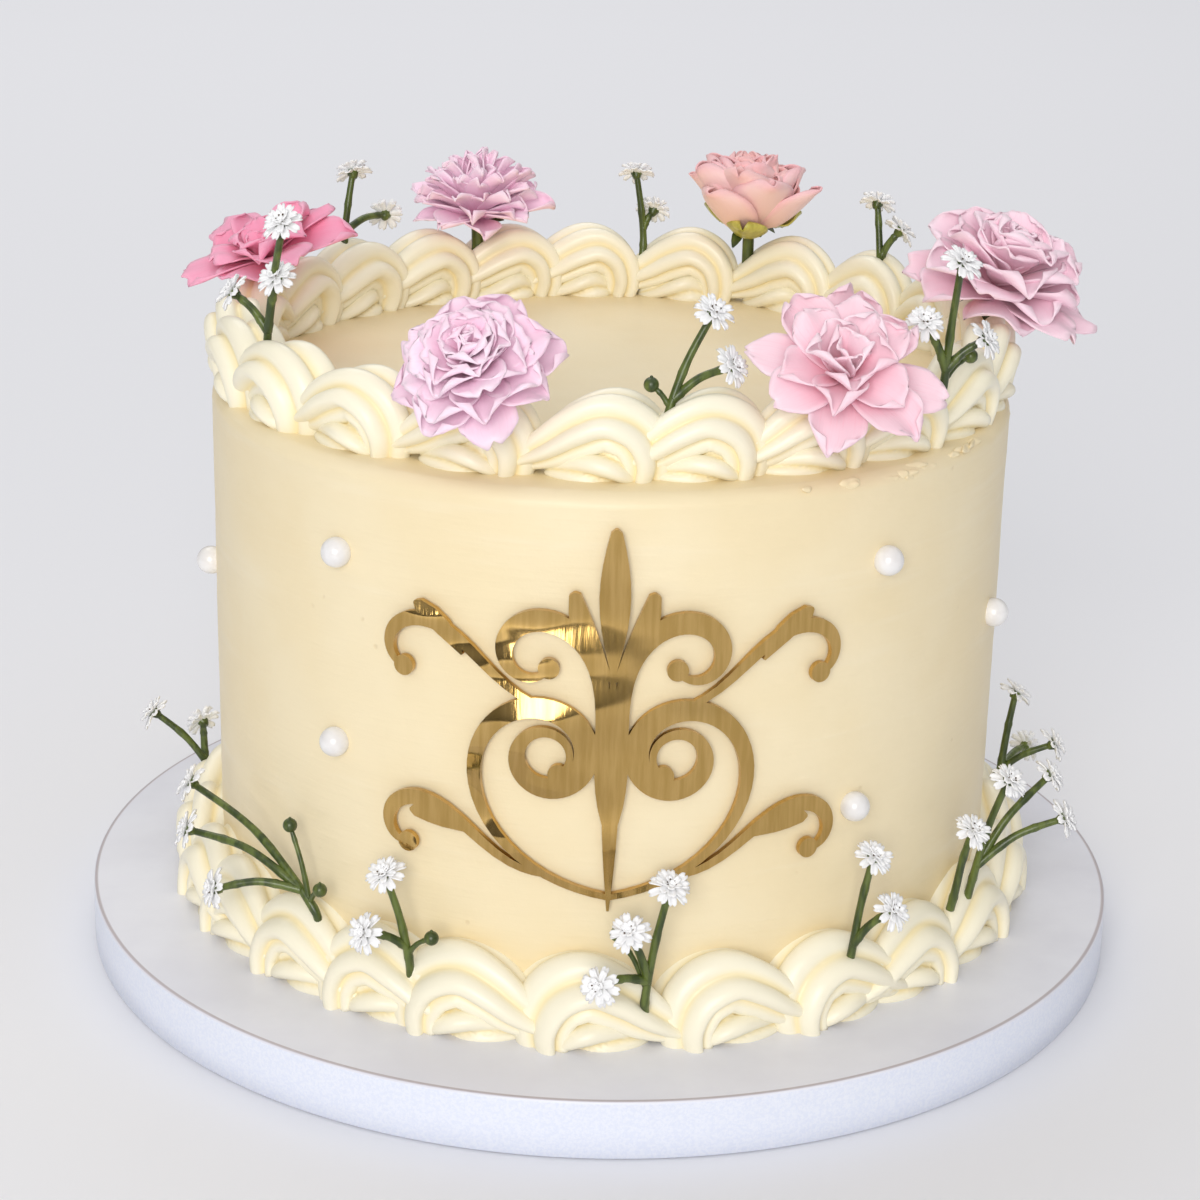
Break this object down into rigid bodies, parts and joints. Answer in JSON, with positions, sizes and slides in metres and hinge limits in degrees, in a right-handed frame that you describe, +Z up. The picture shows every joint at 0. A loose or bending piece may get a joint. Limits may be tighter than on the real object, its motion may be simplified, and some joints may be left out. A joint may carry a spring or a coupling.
{
  "type": "single-tier celebration cake on a round board",
  "caption": "Round iced cake on a thick round board, with piped shell borders at top and foot, fresh flowers, small white sprigs, sugar pearls and a gold scroll ornament.",
  "frame": {"origin": "centre of the board's flat underside", "axes": "+Z up along the cake's axis; -Y is the front, the side that carries the gold ornament; +X is to the right as seen from the front"},
  "size_m": [0.2286, 0.2286, 0.1693],
  "materials": {
    "board_paper": "satin paper over board, pale grey-white",
    "icing_side": "satin buttercream icing, pale cream yellow",
    "piping": "satin piped buttercream, ivory",
    "gold_foil": "polished gold foil",
    "sprig_green": "glossy olive-green stem with matte white florets",
    "sugar_pearl": "glossy white sugar",
    "flower_1_petals": "matte warm pink petals",
    "flower_2_petals": "matte pink petals",
    "flower_3_petals": "matte pale lilac-pink petals",
    "flower_4_petals": "matte peach-pink petals",
    "flower_5_petals": "matte pale pink petals",
    "flower_6_petals": "matte light pink petals"
  },
  "bodies": {
    "root": {"board": "board_paper", "cake": "icing_side", "top_border": "piping", "foot_border": "piping", "flower_1": "flower_1_petals", "flower_2": "flower_2_petals", "flower_3": "flower_3_petals", "flower_4": "flower_4_petals", "flower_5": "flower_5_petals", "flower_6": "flower_6_petals", "sprig_top_1": "sprig_green", "sprig_top_2": "sprig_green", "sprig_top_3": "sprig_green", "sprig_top_4": "sprig_green", "sprig_top_5": "sprig_green", "sprig_top_6": "sprig_green", "sprig_foot_1": "sprig_green", "sprig_foot_2": "sprig_green", "sprig_foot_3": "sprig_green", "sprig_foot_4": "sprig_green", "sprig_foot_5": "sprig_green", "sprig_foot_6": "sprig_green", "sprig_foot_7": "sprig_green", "sprig_foot_8": "sprig_green", "sprig_foot_9": "sprig_green", "sprig_foot_10": "sprig_green", "pearl_1": "sugar_pearl", "pearl_2": "sugar_pearl", "pearl_3": "sugar_pearl", "pearl_4": "sugar_pearl", "pearl_5": "sugar_pearl", "pearl_6": "sugar_pearl", "pearl_7": "sugar_pearl", "pearl_8": "sugar_pearl", "pearl_9": "sugar_pearl", "pearl_10": "sugar_pearl", "flourish": "gold_foil"}
  },
  "joints": []
}
